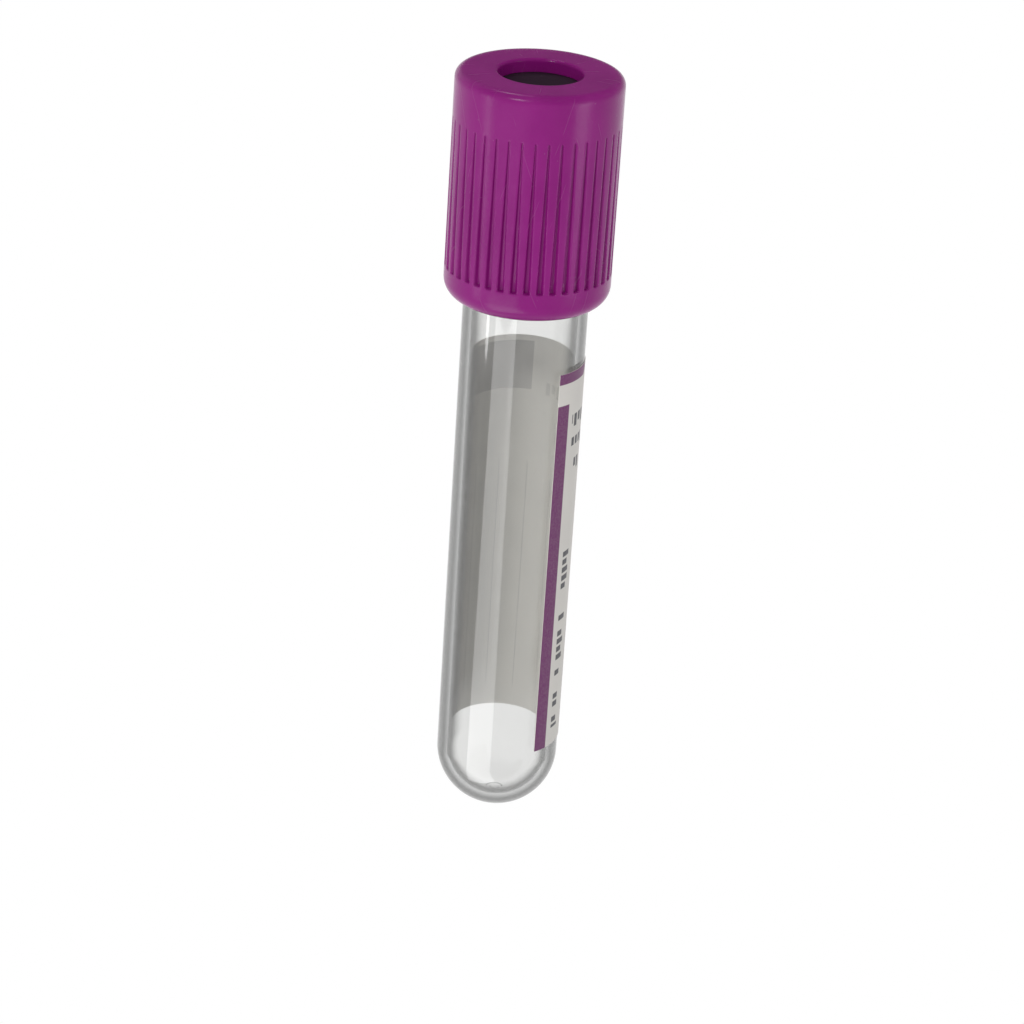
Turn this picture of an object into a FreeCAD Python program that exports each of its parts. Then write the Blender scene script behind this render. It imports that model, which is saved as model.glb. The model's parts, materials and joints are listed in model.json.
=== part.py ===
"""Evacuated blood collection tube of the 13 x 75 mm size, standing on its cap.

Four pieces, each moulded, cut or pressed in one: a clear plastic tube with a
round bottom, a rubber stopper, a ribbed safety shield that carries the stopper,
and a paper label wrapped three fifths of the way round the tube.

Every piece is drawn upright on one common axis, with the tip of the tube's
round bottom at zero and the mouth upwards. One placement then turns the whole
tube over, onto the flat top of its shield. A tube with a round bottom can't
stand the other way up, and laid on its side it rolls.
"""
import FreeCAD
import Part
import Sketcher
import math
import os

# Driving dimensions in millimetres, angles in degrees, counts as plain numbers.
SIZES = [
    ("tube_length", 75.0, "from the tip of the round bottom to the rim"),
    ("tube_diameter", 13.0, "outside, at the rim"),
    ("neck_flare", 0.1, "how much wider the rim is than the shank, on the radius"),
    ("neck_length", 18.0, "flared neck, from the rim down to the straight shank"),
    ("tube_wall", 1.05, "thickness of the tube all over"),
    ("rim_round", 0.3, "rounding of both edges of the rim"),
    ("skirt_cover", 17.0, "length of tube that the shield covers"),
    ("head_rise", 6.5, "height of the shield's top over the rim"),
    ("skirt_gap", 0.75, "clearance between skirt and tube, on the radius"),
    ("shield_wall", 1.25, "thickness of the skirt"),
    ("top_thickness", 1.4, "thickness of the shield's top"),
    ("top_round", 0.9, "rounding of the top's outer edge"),
    ("port_diameter", 8.5, "needle port through the shield's top"),
    ("port_round", 0.3, "rounding of the port's upper edge"),
    ("collar_height", 3.0, "plain collar below the grip grooves"),
    ("collar_round", 2.0, "radius that draws the collar in to its lower edge"),
    ("collar_land", 0.25, "flat ring left at the collar's lower edge"),
    ("band_height", 4.7, "plain band above the grip grooves"),
    ("groove_count", 40, "grip grooves round the shield"),
    ("groove_width", 0.85, "groove at the collar, across its mouth"),
    ("groove_floor", 0.3, "groove at the collar, across its floor"),
    ("groove_depth", 0.5, "groove at the collar, where it is deepest"),
    ("groove_fade", 0.25, "share of width and depth left at its upper end"),
    ("ring_gap", 0.3, "clearance between retaining ring and tube, on the radius"),
    ("ring_height", 1.0, "retaining ring under the stopper's flange"),
    ("flange_gap", 0.05, "clearance between flange and shield, on the radius"),
    ("dish_margin", 0.4, "flat face of the stopper between dish and port, on the radius"),
    ("dish_depth", 0.45, "dish where the needle pierces the stopper"),
    ("plug_depth", 8.5, "length of stopper inside the tube"),
    ("plug_gap", 0.03, "clearance between sealing bands and bore, on the radius"),
    ("seal_relief", 0.3, "depth of the waist between the sealing bands"),
    ("seal_height", 2.6, "height of each of the two sealing bands"),
    ("waist_height", 1.4, "height of the waist between them"),
    ("plug_lead", 0.8, "how far the plug's lower end draws in"),
    ("well_diameter", 5.6, "well in the underside of the plug"),
    ("well_depth", 6.0, "depth of that well to the top of its dome"),
    ("label_low", 8.4, "height of the label's lower edge over the tip"),
    ("label_gap", 6.6, "bare tube between the label and the skirt"),
    ("label_thickness", 0.08, "paper with its adhesive"),
    ("label_start", 38.0, "angle of the label's printed edge from the front"),
    ("label_wrap", 220.0, "angle that the label covers"),
]


class Size:
    """A size that keeps both its value and the expression that gives it."""

    def __init__(self, value, text):
        self.value = value
        self.text = text

    def __add__(self, other):
        return Size(self.value + other.value, f"({self.text} + {other.text})")

    def __sub__(self, other):
        return Size(self.value - other.value, f"({self.text} - {other.text})")

    def __mul__(self, other):
        return Size(self.value * other.value, f"({self.text} * {other.text})")

    def __truediv__(self, other):
        return Size(self.value / other.value, f"({self.text} / {other.text})")

    def half(self):
        return Size(self.value / 2, f"({self.text} / 2)")

    def root(self):
        return Size(math.sqrt(self.value), f"sqrt({self.text})")


ZERO = Size(0.0, "0")


def make_sheet(doc):
    """Put the driving dimensions in a sheet and return them by name."""
    sheet = doc.addObject("Spreadsheet::Sheet", "Sizes")
    sizes = {}
    for row, (alias, value, meaning) in enumerate(SIZES, start=1):
        sheet.set(f"A{row}", str(value))
        sheet.setAlias(f"A{row}", alias)
        sheet.set(f"B{row}", meaning)
        sizes[alias] = Size(value, f"Sizes.{alias}")
    doc.recompute()
    return sizes


def origin_plane(body, role):
    """Return one of the body's own origin planes."""
    return next(each for each in body.Origin.OriginFeatures if each.Role == role)


def new_body(doc, label):
    """Add an empty body for one piece."""
    body = doc.addObject("PartDesign::Body", label)
    body.Label = label
    return body


def arc_middle(start, end, radius):
    """Return the middle of the shorter arc that turns left from start to end."""
    chord = end - start
    sagitta = radius - math.sqrt(radius**2 - (chord.Length / 2) ** 2)
    right = FreeCAD.Vector(chord.y, -chord.x, 0).normalize()
    return (start + end) * 0.5 + right * sagitta


def draw_outline(body, name, role, corners, height=None):
    """Draw a closed outline whose corners and arcs are bound to the sheet.

    Each corner is (across, up) where a straight edge follows, or
    (across, up, radius, turn) where an arc follows, with turn "left" or "right".
    A height lifts the outline off its origin plane.
    """
    sketch = body.newObject("Sketcher::SketchObject", name)
    sketch.AttachmentSupport = (origin_plane(body, role), [""])
    sketch.MapMode = "FlatFace"
    if height is not None:
        sketch.setExpression("AttachmentOffset.Base.z", height.text)
    points = [FreeCAD.Vector(corner[0].value, corner[1].value, 0) for corner in corners]
    count = len(corners)
    for index, corner in enumerate(corners):
        start = points[index]
        end = points[(index + 1) % count]
        if len(corner) == 2:
            sketch.addGeometry(Part.LineSegment(start, end), False)
        elif corner[3] == "left":
            sketch.addGeometry(Part.Arc(start, arc_middle(start, end, corner[2].value), end), False)
        else:
            sketch.addGeometry(Part.Arc(start, arc_middle(end, start, corner[2].value), end), False)
    for index, corner in enumerate(corners):
        # An arc's own ends run left-handed, so one that turns right starts at its second end.
        is_right = len(corner) == 4 and corner[3] == "right"
        before = corners[index - 1]
        before_right = len(before) == 4 and before[3] == "right"
        near_end = 2 if is_right else 1
        far_end = 1 if before_right else 2
        sketch.addConstraint(
            Sketcher.Constraint("Coincident", (index - 1) % count, far_end, index, near_end)
        )
        for kind, size in (("DistanceX", corner[0]), ("DistanceY", corner[1])):
            label = f"{kind}_{index}"
            number = sketch.addConstraint(
                Sketcher.Constraint(kind, -1, 1, index, near_end, size.value)
            )
            sketch.renameConstraint(number, label)
            sketch.setExpression(f"Constraints.{label}", size.text)
        if len(corner) == 4:
            number = sketch.addConstraint(Sketcher.Constraint("Radius", index, corner[2].value))
            sketch.renameConstraint(number, f"Radius_{index}")
            sketch.setExpression(f"Constraints.Radius_{index}", corner[2].text)
    return sketch


def turn_outline(body, name, sketch, angle=None):
    """Revolve an outline about the common axis, all the way or by an angle."""
    turned = body.newObject("PartDesign::Revolution", name)
    turned.Profile = sketch
    turned.ReferenceAxis = (sketch, ["V_Axis"])
    turned.Angle = 360
    if angle is not None:
        turned.setExpression("Angle", angle.text)
    return turned


def make_tube(doc, size):
    """Clear moulded tube: round bottom, straight shank, slightly flared neck, rounded rim."""
    body = new_body(doc, "tube")
    mouth = size["tube_diameter"].half()
    shank = mouth - size["neck_flare"]
    wall = size["tube_wall"]
    rim = size["rim_round"]
    top = size["tube_length"]
    neck = top - size["neck_length"]
    outline = [
        (ZERO, ZERO, shank, "left"),
        (shank, shank),
        (shank, neck),
        (mouth, top - rim, rim, "left"),
        (mouth - rim, top),
        (mouth - wall + rim, top, rim, "left"),
        (mouth - wall, top - rim),
        (mouth - wall, neck),
        (shank - wall, shank, shank - wall, "right"),
        (ZERO, wall),
    ]
    turn_outline(body, "TubeWall", draw_outline(body, "TubeOutline", "XZ_Plane", outline))
    return body


def make_stopper(doc, size):
    """Rubber stopper: banded plug, thick flange on the rim, dish under the port."""
    body = new_body(doc, "stopper")
    rim = size["tube_length"]
    bore = size["tube_diameter"].half() - size["tube_wall"]
    seal = bore - size["plug_gap"]
    waist = seal - size["seal_relief"]
    upper_seal_low = rim - size["seal_height"]
    lower_seal_top = upper_seal_low - size["waist_height"]
    lower_seal_low = lower_seal_top - size["seal_height"]
    slope = size["seal_relief"]
    foot = rim - size["plug_depth"]
    well = size["well_diameter"].half()
    well_top = foot + size["well_depth"]
    flange = size["tube_diameter"].half() + size["skirt_gap"] - size["flange_gap"]
    flange_top = rim + size["head_rise"] - size["top_thickness"]
    dish = size["port_diameter"].half() - size["dish_margin"]
    depth = size["dish_depth"]
    dish_radius = (dish * dish + depth * depth).half() / depth
    outline = [
        (ZERO, well_top, well, "right"),
        (well, well_top - well),
        (well, foot),
        (seal - size["plug_lead"], foot),
        (seal, lower_seal_low),
        (seal, lower_seal_top),
        (waist, lower_seal_top + slope),
        (waist, upper_seal_low - slope),
        (seal, upper_seal_low),
        (seal, rim),
        (flange, rim),
        (flange, flange_top),
        (dish, flange_top, dish_radius, "right"),
        (ZERO, flange_top - depth),
    ]
    turn_outline(body, "StopperRubber", draw_outline(body, "StopperOutline", "XZ_Plane", outline))
    return body


def make_shield(doc, size):
    """Safety shield: skirt, top with the needle port, retaining ring, grip grooves."""
    body = new_body(doc, "shield")
    tube = size["tube_diameter"].half()
    rim = size["tube_length"]
    inside = tube + size["skirt_gap"]
    outside = inside + size["shield_wall"]
    ring = tube + size["ring_gap"]
    ring_low = rim - size["ring_height"]
    low = rim - size["skirt_cover"]
    top = rim + size["head_rise"]
    ceiling = top - size["top_thickness"]
    port = size["port_diameter"].half()
    edge = size["port_round"]
    shoulder = size["top_round"]
    bend = size["collar_round"]
    foot = inside + size["collar_land"]
    reach = bend - (outside - foot)
    bend_top = low + (bend * bend - reach * reach).root()
    outline = [
        (inside, low),
        (foot, low, bend, "left"),
        (outside, bend_top),
        (outside, top - shoulder, shoulder, "left"),
        (outside - shoulder, top),
        (port + edge, top, edge, "left"),
        (port, top - edge),
        (port, ceiling),
        (inside, ceiling),
        (inside, rim),
        (ring, rim),
        (ring, ring_low),
        (inside, ring_low - (inside - ring)),
    ]
    turn_outline(body, "ShieldWall", draw_outline(body, "ShieldOutline", "XZ_Plane", outline))
    doc.recompute()
    plain_volume = body.Shape.Volume

    groove = body.newObject("PartDesign::SubtractiveLoft", "GripGroove")
    fade = size["groove_fade"]
    full = Size(1.0, "1")
    groove_low = low + size["collar_height"]
    groove_top = top - size["band_height"]
    deep = draw_groove(body, "GrooveFoot", outside, size, full, groove_low)
    faint = draw_groove(body, "GrooveHead", outside, size, fade, groove_top)
    groove.Profile = deep
    groove.Sections = [(faint, [""])]
    groove.Ruled = True
    doc.recompute()

    grooves = body.newObject("PartDesign::PolarPattern", "GripGrooves")
    grooves.Originals = [groove]
    grooves.Axis = (deep, ["N_Axis"])
    grooves.Angle = 360
    grooves.setExpression("Occurrences", size["groove_count"].text)
    body.Tip = grooves
    doc.recompute()
    if body.Shape.Volume >= plain_volume:
        raise RuntimeError("the grip grooves cut nothing from the shield")
    return body


def draw_groove(body, name, outside, size, share, height):
    """Draw the cross section of one grip groove, at a share of its full size."""
    mouth = size["groove_width"].half() * share
    floor = size["groove_floor"].half() * share
    bottom = outside - size["groove_depth"] * share
    clear = outside + size["groove_depth"]
    outline = [
        (bottom, ZERO - floor),
        (outside, ZERO - mouth),
        (clear, ZERO - mouth),
        (clear, mouth),
        (outside, mouth),
        (bottom, floor),
    ]
    return draw_outline(body, name, "XY_Plane", outline, height)


def make_label(doc, size):
    """Paper label on the straight shank, turned from its printed edge."""
    body = new_body(doc, "label")
    shank = size["tube_diameter"].half() - size["neck_flare"]
    face = shank + size["label_thickness"]
    low = size["label_low"]
    high = size["tube_length"] - size["skirt_cover"] - size["label_gap"]
    outline = [(shank, low), (face, low), (face, high), (shank, high)]
    sketch = draw_outline(body, "LabelOutline", "XZ_Plane", outline)
    turn_outline(body, "LabelPaper", sketch, size["label_wrap"])
    return body


def find_rest(size):
    """Return the placement that stands the tube on its cap, front towards -Y."""
    top = size["tube_length"].value + size["head_rise"].value
    front = FreeCAD.Vector(0, -1, 0)
    side = FreeCAD.Vector(-1, 0, 0)
    down = FreeCAD.Vector(0, 0, -1)
    rotation = FreeCAD.Rotation(front, side, down, "ZXY")
    return FreeCAD.Placement(FreeCAD.Vector(0, 0, top), rotation)


def check_document(doc):
    """Raise if any object failed to build."""
    for each in doc.Objects:
        if "Invalid" in each.State or "Error" in each.State:
            raise RuntimeError(f"{each.Name} failed: {each.State}")


def export_pieces(bodies):
    """Check every piece and write it to its own file."""
    for body in bodies:
        shape = body.Shape
        if shape.isNull() or not shape.isValid() or len(shape.Solids) != 1:
            raise RuntimeError(f"{body.Label} isn't one valid solid")
    os.makedirs("parts", exist_ok=True)
    for body in bodies:
        body.Shape.exportStep(os.path.join("parts", f"{body.Label}.step"))
        print(f"{body.Label}: {body.Shape.Volume:.1f} mm3")


def main():
    """Build the four pieces upright, stand them on the cap and write them."""
    doc = FreeCAD.newDocument("BloodCollectionTube")
    size = make_sheet(doc)
    tube = make_tube(doc, size)
    stopper = make_stopper(doc, size)
    shield = make_shield(doc, size)
    label = make_label(doc, size)
    bodies = [tube, stopper, shield, label]
    rest = find_rest(size)
    for body in bodies:
        body.Placement = rest
    about_axis = FreeCAD.Rotation(FreeCAD.Vector(0, 0, 1), size["label_start"].value)
    label.Placement = rest * FreeCAD.Placement(FreeCAD.Vector(0, 0, 0), about_axis)
    doc.recompute()
    check_document(doc)
    export_pieces(bodies)
    print(f"height as it stands: {rest.Base.z:.2f} mm")


main()
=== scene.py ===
"""Evacuated blood collection tube: its visible pieces, built round their frame.

Four pieces take the place of the frame's plain solids: the clear tube, the
rubber stopper, the ribbed safety cap and the paper label. All four share the
Z axis. The tube stands upside down on the flat top of its cap, so heights run
from the cap's top at zero up to the tip of the round bottom.
"""

import json
import math

import bmesh
import bpy
from bpy.props import FloatProperty, FloatVectorProperty, IntProperty, PointerProperty
from mathutils import Matrix, Vector


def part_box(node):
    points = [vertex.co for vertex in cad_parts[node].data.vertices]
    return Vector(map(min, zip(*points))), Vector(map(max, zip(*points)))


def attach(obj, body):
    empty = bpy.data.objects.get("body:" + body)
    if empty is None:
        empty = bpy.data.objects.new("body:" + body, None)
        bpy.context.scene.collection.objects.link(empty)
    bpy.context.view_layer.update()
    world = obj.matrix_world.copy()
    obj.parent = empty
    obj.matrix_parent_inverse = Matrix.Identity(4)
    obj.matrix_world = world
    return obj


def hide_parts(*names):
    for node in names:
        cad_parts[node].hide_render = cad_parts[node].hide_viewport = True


bl_info = {
    "name": "Blood Collection Tube",
    "version": (1, 0, 0),
    "blender": (4, 5, 0),
    "location": "View3D > Sidebar > Blood Tube",
    "description": "Builds an evacuated blood tube with its cap, stopper and label",
    "category": "Add Mesh",
}

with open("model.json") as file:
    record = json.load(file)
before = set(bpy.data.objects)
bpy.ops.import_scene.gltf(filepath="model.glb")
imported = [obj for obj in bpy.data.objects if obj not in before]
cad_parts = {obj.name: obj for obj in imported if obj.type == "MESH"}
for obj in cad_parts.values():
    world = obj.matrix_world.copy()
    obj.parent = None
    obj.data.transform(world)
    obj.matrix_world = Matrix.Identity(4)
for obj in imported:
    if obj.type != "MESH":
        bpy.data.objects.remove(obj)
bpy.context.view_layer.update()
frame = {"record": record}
MM = 0.001


def mount(name):
    """Return the frame's mount of that name."""
    return next(each for each in frame["record"]["mounts"] if each["name"] == name)


# Heights and radii that the frame gives, in metres.
TUBE_LOW, TUBE_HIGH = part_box("tube")
CAP_LOW, CAP_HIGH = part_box("shield")
STOPPER_LOW, STOPPER_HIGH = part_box("stopper")
LABEL_LOW, LABEL_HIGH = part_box("label")
SHANK = mount("shank")
SHANK_RADIUS = SHANK["dims"]["r_mm"] * MM
SHANK_START = SHANK["pos_m"][2] - SHANK["dims"]["length_mm"] * MM / 2
SHANK_END = SHANK["pos_m"][2] + SHANK["dims"]["length_mm"] * MM / 2
PORT_RADIUS = mount("needle_port")["dims"]["r_mm"] * MM
RIM = TUBE_LOW.z
TIP = TUBE_HIGH.z
MOUTH_RADIUS = TUBE_HIGH.x
CAP_RADIUS = CAP_HIGH.x
SKIRT_END = CAP_HIGH.z
CEILING = STOPPER_LOW.z
FLANGE_RADIUS = STOPPER_HIGH.x
PLUG_FOOT = STOPPER_HIGH.z
LABEL_RADIUS = LABEL_HIGH.y

AROUND = 192  # faces round a plain turned piece
RIB_FACES = 16  # faces round the cap for each of its ribs
ON_AXIS = 1e-7  # a point of an outline nearer to the axis than this is a pole
BEND = math.radians(12)  # the most that a rounding turns in one step
EASE = 0.3  # run beside a rounding that stays flat when shaded, as a share of its radius
SHARP = math.radians(38)  # edges that turn more than this are shaded sharp
GROOVE_SLOPE = 0.2 * MM  # height over which a groove's end rises to the wall
FLOOR_RADIUS = 3.0
FLOOR_GAP = 0.1 * MM  # between the floor and the cap's flat top
WHITE = (1.0, 1.0, 1.0, 1.0)
SOFT = 0.03  # softness of a printed edge, in millimetres

# Widths of the label by which its UV map has the glued side to the left of the printed.
GLUED_SIDE = 2.0
# Rows of printed blocks, in millimetres on the flat label: the way that the row runs,
# its start and end, its near and far edge, the pitch of its blocks and its random seed.
PRINT_ROWS = (
    ("across", 2.3, 13.0, 4.9, 6.3, 0.86, 3.0),
    ("across", 2.3, 10.2, 7.5, 8.8, 0.78, 31.0),
    ("across", 2.3, 11.4, 10.0, 11.3, 0.78, 57.0),
    ("down", 20.4, 41.0, 2.4, 3.7, 0.92, 83.0),
    ("down", 29.5, 41.0, 5.3, 6.3, 0.66, 111.0),
)
# Thin lines down the label: their places across it, their width, start and end.
RULED_LINES = (11.0, 14.5, 18.0, 21.5)
LINE_WIDTH = 0.12
LINE_START = 14.0
LINE_END = 40.5

# Each lamp's name, its place, width and height in metres, its power in watts, and
# whether glossy surfaces mirror it.
LAMPS = (
    ("Key", (0.20, -0.34, -0.30), 0.07, 0.07, 0.55, True),
    ("Side", (-0.34, -0.18, 0.0), 0.14, 0.30, 0.45, True),
    ("Above", (0.20, -0.30, 0.34), 0.34, 0.34, 0.95, True),
    ("Under", (0.10, 0.20, -0.42), 0.07, 0.07, 0.22, True),
    ("Strip", (0.35, -0.13, 0.03), 0.04, 0.30, 0.20, True),
    ("Back", (0.14, 0.38, 0.36), 0.14, 0.14, 0.85, False),
)


# ---------------------------------------------------------------- mesh tools


def arc(centre, radius, start, end, steps):
    """Return points of an arc in the (radius, height) plane, angles in degrees from outwards."""
    angles = (math.radians(start + (end - start) * step / steps) for step in range(steps + 1))
    return [(centre[0] + radius * math.cos(a), centre[1] + radius * math.sin(a)) for a in angles]


def rounded(corners, closed=True):
    """Return the points of an outline with its corners rounded.

    Each corner is (across, up) or (across, up, rounding). A point just past
    each end of a rounding keeps the straight run beside it flat when shaded.
    """
    points = []
    count = len(corners)
    for index, corner in enumerate(corners):
        at_end = index in (0, count - 1) and not closed
        if len(corner) == 2 or at_end:
            points.append(tuple(corner[:2]))
            continue
        here = Vector(corner[:2])
        back = (Vector(corners[index - 1][:2]) - here).normalized()
        ahead = (Vector(corners[(index + 1) % count][:2]) - here).normalized()
        half = back.angle(ahead) / 2
        rounding = corner[2]
        reach = rounding / math.tan(half)
        centre = here + (back + ahead).normalized() * rounding / math.sin(half)
        first = here + back * reach - centre
        turn = math.pi - 2 * half
        if first.cross(here + ahead * reach - centre) < 0:
            turn = -turn
        steps = max(3, math.ceil(abs(turn) / BEND))
        points.append(tuple(here + back * (reach + rounding * EASE)))
        for step in range(steps + 1):
            spoke = Matrix.Rotation(turn * step / steps, 2) @ first
            points.append(tuple(centre + spoke))
        points.append(tuple(here + ahead * (reach + rounding * EASE)))
    return points


def lathe(name, outline, around=AROUND, closed=True):
    """Turn an outline of (radius, height) points about the Z axis and return its mesh."""
    bm = bmesh.new()
    rings = []
    for across, up in outline:
        if across < ON_AXIS:
            rings.append([bm.verts.new((0.0, 0.0, up))])
            continue
        ring = []
        for step in range(around):
            angle = math.tau * step / around
            ring.append(bm.verts.new((across * math.cos(angle), across * math.sin(angle), up)))
        rings.append(ring)
    following = rings[1:] + rings[:1] if closed else rings[1:]
    for ring, other in zip(rings, following):
        for step in range(around):
            near, far = step, (step + 1) % around
            corners = [
                ring[near % len(ring)],
                ring[far % len(ring)],
                other[far % len(other)],
                other[near % len(other)],
            ]
            corners = list(dict.fromkeys(corners))
            if len(corners) > 2:
                bm.faces.new(corners)
    return finish_mesh(name, bm)


def finish_mesh(name, bm):
    """Point a closed shell's faces outwards and return it as a smooth mesh."""
    if bm.calc_volume(signed=True) < 0:
        bmesh.ops.reverse_faces(bm, faces=bm.faces)
    mesh = bpy.data.meshes.new(name)
    bm.to_mesh(mesh)
    bm.free()
    mesh.polygons.foreach_set("use_smooth", [True] * len(mesh.polygons))
    mesh.set_sharp_from_angle(angle=SHARP)
    return mesh


def new_piece(mesh):
    """Put a mesh in the scene as an object of its name, at the origin."""
    piece = bpy.data.objects.new(mesh.name, mesh)
    bpy.context.scene.collection.objects.link(piece)
    return piece


def hand_over(piece, body, node):
    """Let a finished piece ride on its body in place of the frame's solid."""
    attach(piece, body)
    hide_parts(node)


# ---------------------------------------------------------------- node tools


def add_node(tree, kind, inputs=None, **settings):
    """Add a node, set its properties, and fill its inputs with values or links."""
    made = tree.nodes.new(kind)
    for name, value in settings.items():
        setattr(made, name, value)
    for key, value in (inputs or {}).items():
        if isinstance(value, bpy.types.NodeSocket):
            tree.links.new(value, made.inputs[key])
        else:
            made.inputs[key].default_value = value
    return made


def calc(tree, operation, *values):
    """Add a Math node on values or sockets and return its output."""
    return add_node(tree, "ShaderNodeMath", dict(enumerate(values)), operation=operation).outputs[0]


def product(tree, *values):
    """Return the product of values or sockets."""
    total = values[0]
    for value in values[1:]:
        total = calc(tree, "MULTIPLY", total, value)
    return total


def weighted_sum(tree, base, *terms):
    """Return base plus each socket times its weight."""
    total = base
    for socket, weight in terms:
        total = calc(tree, "MULTIPLY_ADD", socket, weight, total)
    return total


def carry(tree, value, start, end, low, high, course="LINEAR"):
    """Return value carried from start..end to low..high, and held level beyond."""
    inputs = {"Value": value, "From Min": start, "From Max": end, "To Min": low, "To Max": high}
    return add_node(tree, "ShaderNodeMapRange", inputs, interpolation_type=course).outputs["Result"]


def ramp(tree, value, start, end, low=0.0, high=1.0):
    """Return value carried smoothly from start..end to low..high."""
    return carry(tree, value, start, end, low, high, "SMOOTHSTEP")


def band(tree, value, low, high, soft):
    """Return 1 where value lies between low and high, with soft edges."""
    rise = ramp(tree, value, low - soft, low + soft)
    fall = ramp(tree, value, high - soft, high + soft, 1.0, 0.0)
    return product(tree, rise, fall)


def box_mask(tree, across, down, left, right, top, bottom):
    """Return 1 inside a box on the flat label, in millimetres from its upper left corner."""
    return product(tree, band(tree, across, left, right, SOFT), band(tree, down, top, bottom, SOFT))


def noise(tree, place, scale, detail, roughness=0.5):
    """Return the value of a noise pattern."""
    inputs = {"Vector": place, "Scale": scale, "Detail": detail, "Roughness": roughness}
    return add_node(tree, "ShaderNodeTexNoise", inputs).outputs["Fac"]


def one_in_each(tree, number):
    """Return a random value from 0 to 1 for each whole number."""
    inputs = {"W": number}
    return add_node(tree, "ShaderNodeTexWhiteNoise", inputs, noise_dimensions="1D").outputs["Value"]


def blend(tree, share, first, second):
    """Return the mix of two colours, of which each is a value or a socket."""
    inputs = {"Factor": share, 6: first, 7: second}
    return add_node(tree, "ShaderNodeMix", inputs, data_type="RGBA").outputs[2]


def mix_shaders(tree, share, first, second):
    """Return the mix of two shaders."""
    return add_node(tree, "ShaderNodeMixShader", {0: share, 1: first, 2: second}).outputs["Shader"]


def new_group(name, sockets_in, sockets_out):
    """Start a shader node group; sockets are (name, kind, default)."""
    tree = bpy.data.node_groups.new(name, "ShaderNodeTree")
    for label, kind, default in sockets_in:
        socket = tree.interface.new_socket(label, in_out="INPUT", socket_type=kind)
        if default is not None:
            socket.default_value = default
    for label, kind in sockets_out:
        tree.interface.new_socket(label, in_out="OUTPUT", socket_type=kind)
    given = tree.nodes.new("NodeGroupInput").outputs
    out = tree.nodes.new("NodeGroupOutput").inputs
    return tree, given, out


def new_material(name):
    """Return a material's tree with nothing in it but its output."""
    material = bpy.data.materials.new(name)
    material.use_nodes = True
    material.node_tree.nodes.clear()
    output = material.node_tree.nodes.new("ShaderNodeOutputMaterial")
    return material, material.node_tree, output


def moulded_skin():
    """Node group: the fine grain and slow unevenness of a moulded surface."""
    name = "Moulded skin"
    if name in bpy.data.node_groups:
        return bpy.data.node_groups[name]
    tree, given, out = new_group(
        name,
        (
            ("Vector", "NodeSocketVector", None),
            ("Grain per metre", "NodeSocketFloat", 9000.0),
            ("Clouds per metre", "NodeSocketFloat", 160.0),
        ),
        (("Grain", "NodeSocketFloat"), ("Clouds", "NodeSocketFloat")),
    )
    place = given["Vector"]
    grain = noise(tree, place, given["Grain per metre"], 3.0, 0.6)
    clouds = noise(tree, place, given["Clouds per metre"], 4.0, 0.55)
    tree.links.new(grain, out["Grain"])
    tree.links.new(ramp(tree, clouds, 0.3, 0.7), out["Clouds"])
    return tree


def handling_marks():
    """Node group: hairline scratches that lean two ways and a few specks of dust."""
    name = "Handling marks"
    if name in bpy.data.node_groups:
        return bpy.data.node_groups[name]
    tree, given, out = new_group(
        name,
        (
            ("Vector", "NodeSocketVector", None),
            ("Scratches round", "NodeSocketFloat", 16.0),
            ("Scratch Width", "NodeSocketFloat", 0.012),
            ("Dust per metre", "NodeSocketFloat", 1500.0),
        ),
        (("Scratches", "NodeSocketFloat"), ("Dust", "NodeSocketFloat")),
    )
    place = given["Vector"]
    split = add_node(tree, "ShaderNodeSeparateXYZ", {"Vector": place}).outputs
    turns = calc(tree, "DIVIDE", calc(tree, "ARCTAN2", split["Y"], split["X"]), math.tau)
    wander = noise(tree, place, 90.0, 1.0)
    patches = noise(tree, place, 210.0, 2.0)
    lines = []
    # Strips run along the piece and lean, and each has one scratch somewhere across it.
    # The patches noise wears one lean where it is high and the other where it is low.
    for lean, spared, worn in ((8.0, 0.54, 0.62), (-5.0, 0.46, 0.38)):
        course = weighted_sum(tree, turns, (split["Z"], lean), (wander, 0.05))
        strip = product(tree, course, given["Scratches round"])
        number = calc(tree, "ADD", calc(tree, "FLOOR", strip), lean)
        middle = carry(tree, one_in_each(tree, number), 0.0, 1.0, 0.1, 0.9)
        off_line = calc(tree, "ABSOLUTE", calc(tree, "SUBTRACT", calc(tree, "FRACT", strip), middle))
        line = ramp(tree, off_line, 0.0, given["Scratch Width"], 1.0, 0.0)
        lines.append(product(tree, line, ramp(tree, patches, spared, worn)))
    specks = noise(tree, place, given["Dust per metre"], 2.0, 0.7)
    tree.links.new(calc(tree, "MAXIMUM", *lines), out["Scratches"])
    tree.links.new(ramp(tree, specks, 0.72, 0.77), out["Dust"])
    return tree


def place_group(tree, group, **values):
    """Place a group that reads Object coordinates, with these values, and return its outputs."""
    place = add_node(tree, "ShaderNodeTexCoord").outputs["Object"]
    inputs = {"Vector": place, **values}
    return add_node(tree, "ShaderNodeGroup", inputs, node_tree=group).outputs


def bump(tree, height, distance, strength=1.0):
    """Return the normal that a height map gives over a depth in metres."""
    inputs = {"Height": height, "Distance": distance, "Strength": strength}
    return add_node(tree, "ShaderNodeBump", inputs).outputs["Normal"]


# ---------------------------------------------------------------- materials


def cover(tree, output, inputs):
    """Give a material the Principled shader with these inputs."""
    shader = add_node(tree, "ShaderNodeBsdfPrincipled", inputs)
    tree.links.new(shader.outputs["BSDF"], output.inputs["Surface"])


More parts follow.
